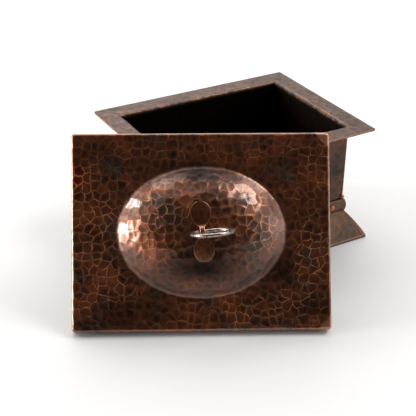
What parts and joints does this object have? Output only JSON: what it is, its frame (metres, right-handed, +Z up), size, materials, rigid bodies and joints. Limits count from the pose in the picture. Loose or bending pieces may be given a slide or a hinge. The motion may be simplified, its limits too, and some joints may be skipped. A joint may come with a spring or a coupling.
{
  "type": "lidded box",
  "caption": "Hammered copper box with a wide mitred flange and a flared foot, and a loose domed lid with a ring pull leaning on it.",
  "frame": {"origin": "middle of the foot rim's underside, on the table", "axes": "+X along the box's long side, +Y from the front wall to the back wall, +Z up; the lid stands in front of the corner at -X, -Y"},
  "size_m": [0.2392, 0.2077, 0.1108],
  "materials": {
    "body_copper": "dark patina, lightly hammered, brown-grey",
    "foot_copper": "brown-grey patina, worn to bare copper on the edges",
    "lid_copper": "deeply hammered, dark brown patina with bright ridges",
    "bright_copper": "worn bright",
    "ring_metal": "polished by handling"
  },
  "bodies": {
    "box": {"wall_front": "body_copper", "wall_back": "body_copper", "wall_left": "body_copper", "wall_right": "body_copper", "floor_plate": "body_copper", "base_front": "foot_copper", "base_back": "foot_copper", "base_left": "foot_copper", "base_right": "foot_copper", "foot_rim": "foot_copper", "band_rivets": "bright_copper", "corner_beads": "bright_copper"},
    "lid": {"lid_panel": "lid_copper", "ring_strap": "lid_copper"},
    "ring": {"ring_pull": "ring_metal"}
  },
  "joints": [
    {"name": "lid_lift", "type": "slide", "parent": "box", "child": "lid", "axis": [0, 0, 1], "range_m": [0, 0.15]},
    {"name": "ring_swing", "type": "hinge", "parent": "lid", "child": "ring", "pos_m": [-0.07912, -0.09543, 0.06875], "axis": [0.9018, -0.4258, 0.0742], "range_deg": [-90, 85]}
  ]
}
